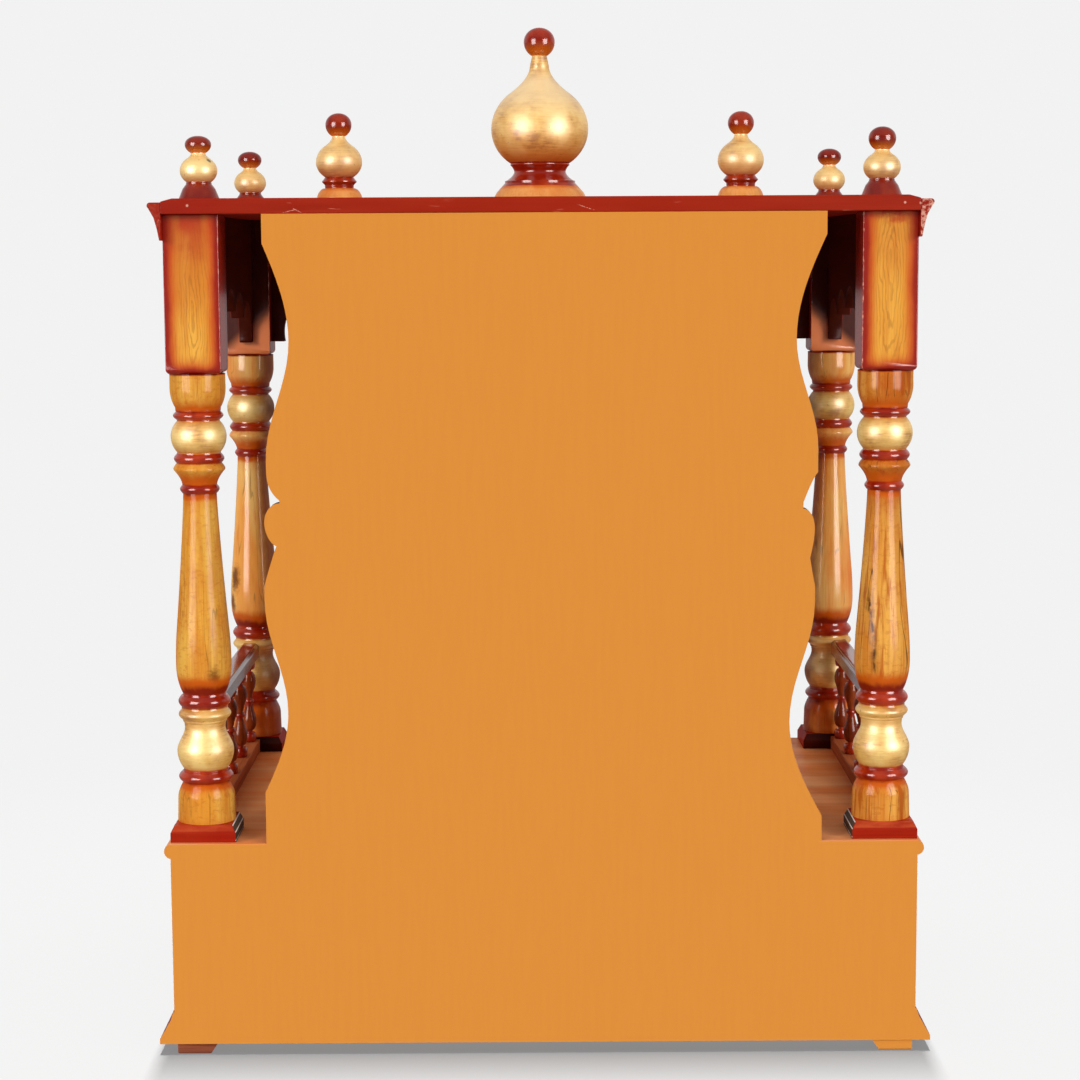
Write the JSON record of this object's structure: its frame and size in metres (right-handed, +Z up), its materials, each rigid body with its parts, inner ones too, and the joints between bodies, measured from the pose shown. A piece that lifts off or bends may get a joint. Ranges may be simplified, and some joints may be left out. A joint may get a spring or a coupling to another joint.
{
  "type": "home shrine",
  "caption": "Turned-wood home shrine: boxed base, pillars with balustrades between them, scalloped arches, flat roof with onion finials.",
  "frame": {"origin": "centre of the bounding box's bottom, on the ground under the feet", "axes": "+Z up, +Y towards the boarded back, so the open front faces -Y, +X to the right seen from the front"},
  "size_m": [0.614, 0.412, 0.8215],
  "materials": {
    "honey_wood": "gloss lacquer over honey-stained wood",
    "red_lacquer": "gloss red-brown lacquer",
    "burst_wood": "gloss lacquer, red edges fading to a honey middle",
    "gold_paint": "gold paint on turned wood",
    "orange_board": "matt orange paint",
    "plain_wood": "bare board"
  },
  "bodies": {
    "root": {"feet": "red_lacquer", "base_front": "red_lacquer", "base_side_left": "red_lacquer", "base_side_right": "red_lacquer", "skirting_front": "red_lacquer", "skirting_left": "red_lacquer", "skirting_right": "red_lacquer", "floor_board": "red_lacquer", "plinth_front_left": "red_lacquer", "plinth_front_right": "red_lacquer", "plinth_rear_left": "red_lacquer", "plinth_rear_right": "red_lacquer", "roof_board": "red_lacquer", "cornice_front": "red_lacquer", "cornice_left": "red_lacquer", "cornice_right": "red_lacquer", "low_rail_left": "red_lacquer", "low_rail_right": "red_lacquer", "top_rail_left": "red_lacquer", "top_rail_right": "red_lacquer", "arch_front": "red_lacquer", "arch_left": "red_lacquer", "arch_right": "red_lacquer", "base_bottom": "plain_wood", "base_back": "orange_board", "back_panel": "orange_board", "pillar_front_left": "honey_wood", "pillar_front_right": "honey_wood", "pillar_rear_left": "honey_wood", "pillar_rear_right": "honey_wood", "balusters_left": "honey_wood", "balusters_right": "honey_wood", "block_front_left": "burst_wood", "block_front_right": "burst_wood", "block_rear_left": "burst_wood", "block_rear_right": "burst_wood", "dome_finial": "gold_paint", "mid_finial_left": "gold_paint", "mid_finial_right": "gold_paint", "corner_finial_front_left": "gold_paint", "corner_finial_front_right": "gold_paint", "corner_finial_rear_left": "gold_paint", "corner_finial_rear_right": "gold_paint"}
  },
  "joints": []
}
